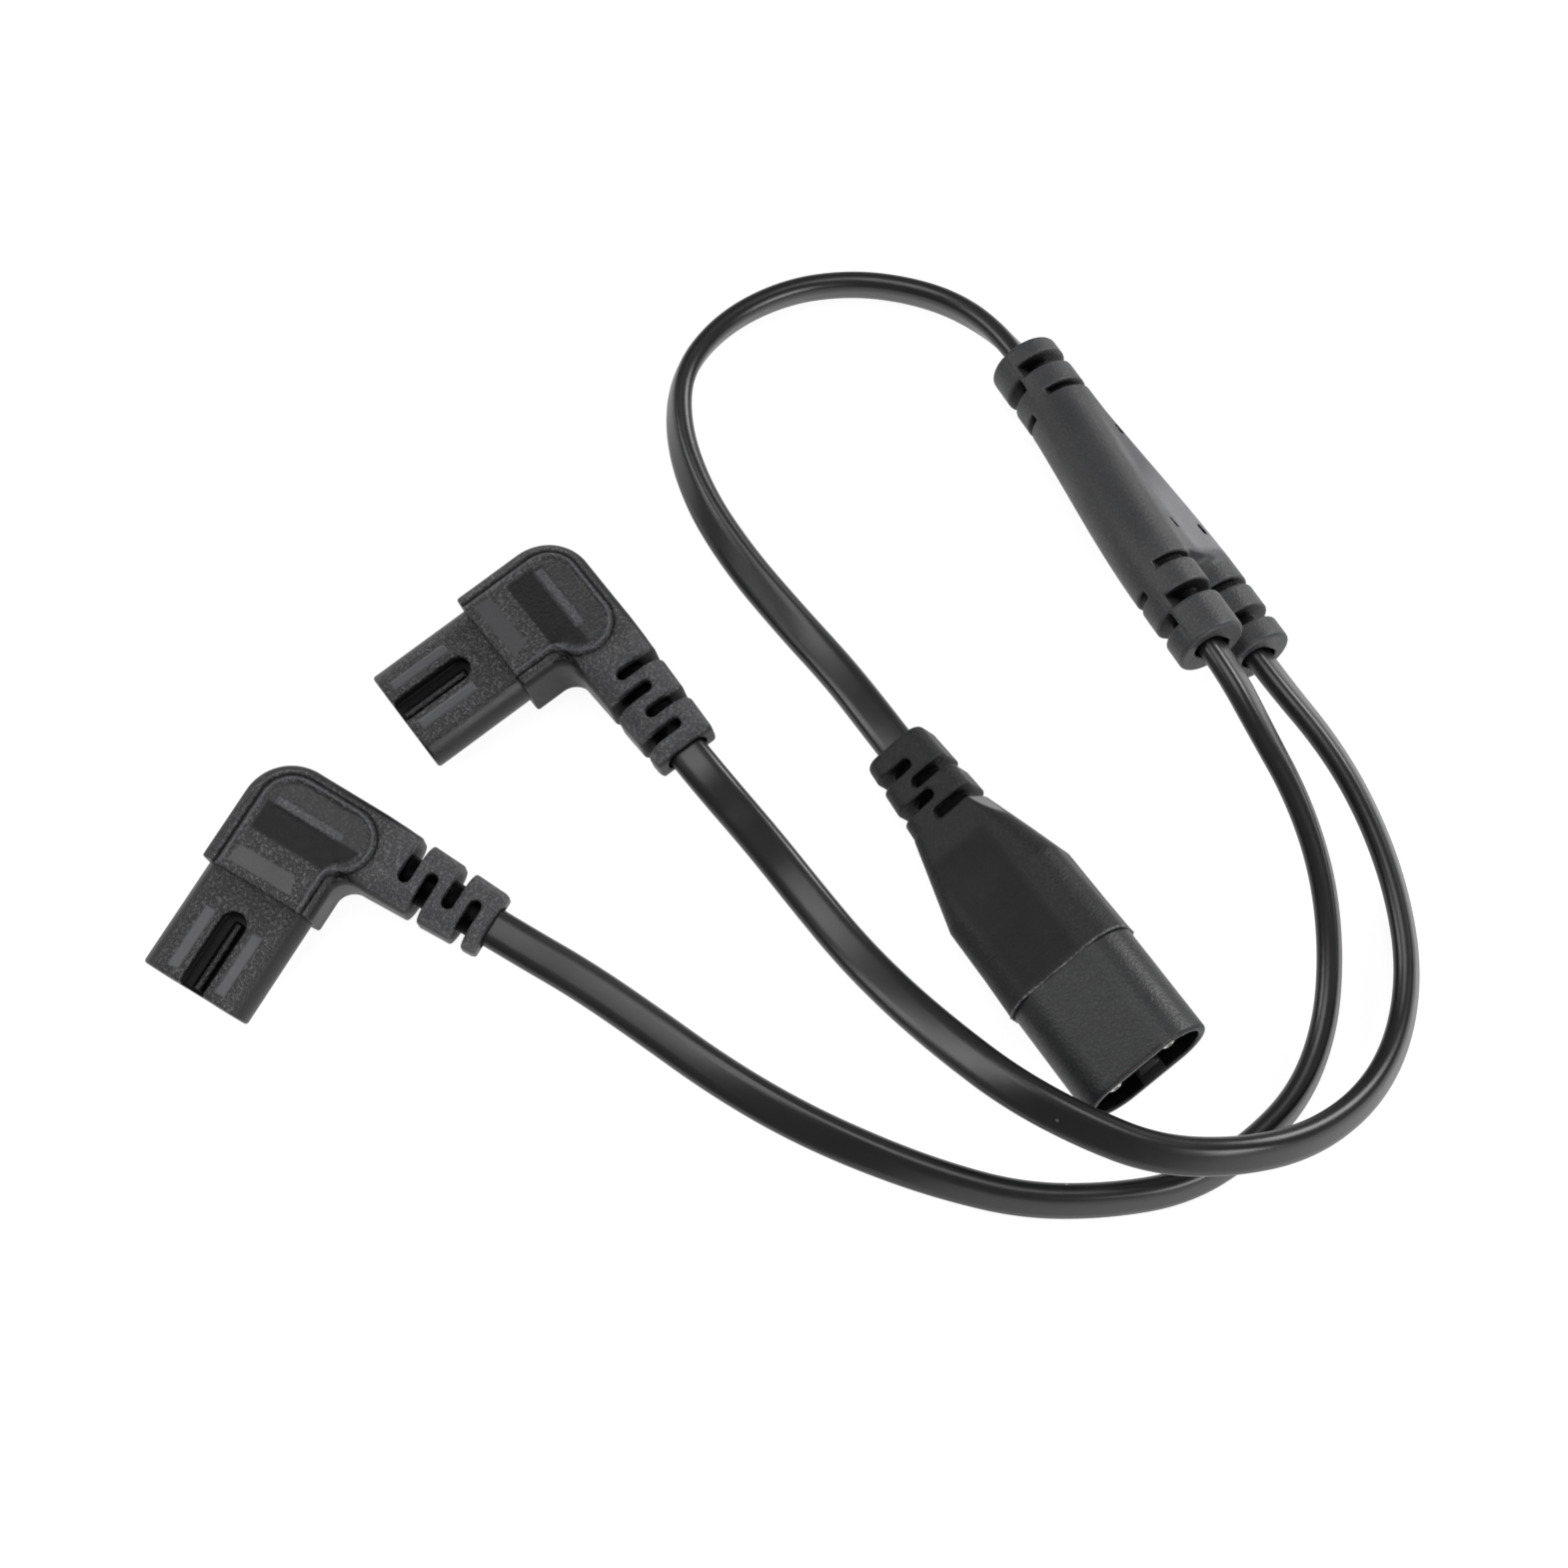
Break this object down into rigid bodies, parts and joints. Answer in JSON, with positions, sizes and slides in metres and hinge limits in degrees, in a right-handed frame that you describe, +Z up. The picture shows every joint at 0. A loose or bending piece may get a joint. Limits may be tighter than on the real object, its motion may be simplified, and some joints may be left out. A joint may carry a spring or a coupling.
{
  "type": "figure eight power splitter lead",
  "caption": "Y-splitter mains lead: an in-line figure-eight inlet feeds, through flat cable and a moulded splitter, right-angle figure-eight outlet connectors.",
  "frame": {"origin": "centre of the mouldings' footprint, at the level of the table they lie on", "axes": "+Z up from the table, -Y the way the inlet's mouth points, +X from the outlets towards the splitter"},
  "size_m": [0.1509, 0.1482, 0.0218],
  "materials": {
    "moulding": "soft black moulded grip with fine grain",
    "nose": "hard black moulded plastic, fine grain with smooth sides",
    "shroud": "hard black moulded plastic, semi-gloss",
    "cable_sheath": "semi-gloss black flexible sheath",
    "plated_pin": "nickel-plated",
    "contact": "plain stamped brass",
    "splice": "crimped splice sleeve",
    "core_brown": "brown core insulation",
    "core_blue": "blue core insulation"
  },
  "bodies": {
    "root": {"inlet_shroud": "shroud", "inlet_overmould": "moulding", "inlet_pin_left": "plated_pin", "inlet_pin_right": "plated_pin", "inlet_core_left": "core_brown", "inlet_core_right": "core_blue", "splitter_feed_core_upper": "core_brown", "splitter_splice_upper": "splice", "splitter_left_core_upper": "core_brown", "splitter_right_core_upper": "core_brown", "splitter_feed_core_lower": "core_blue", "splitter_splice_lower": "splice", "splitter_left_core_lower": "core_blue", "splitter_right_core_lower": "core_blue", "splitter_overmould": "moulding", "outlet_a_nose": "nose", "outlet_a_contact_left": "contact", "outlet_a_contact_right": "contact", "outlet_a_core_left": "core_brown", "outlet_a_core_right": "core_blue", "outlet_a_overmould": "moulding", "outlet_b_nose": "nose", "outlet_b_contact_left": "contact", "outlet_b_contact_right": "contact", "outlet_b_core_left": "core_brown", "outlet_b_core_right": "core_blue", "outlet_b_overmould": "moulding", "feed_cable": "cable_sheath", "inner_cable": "cable_sheath", "outer_cable": "cable_sheath"}
  },
  "joints": []
}
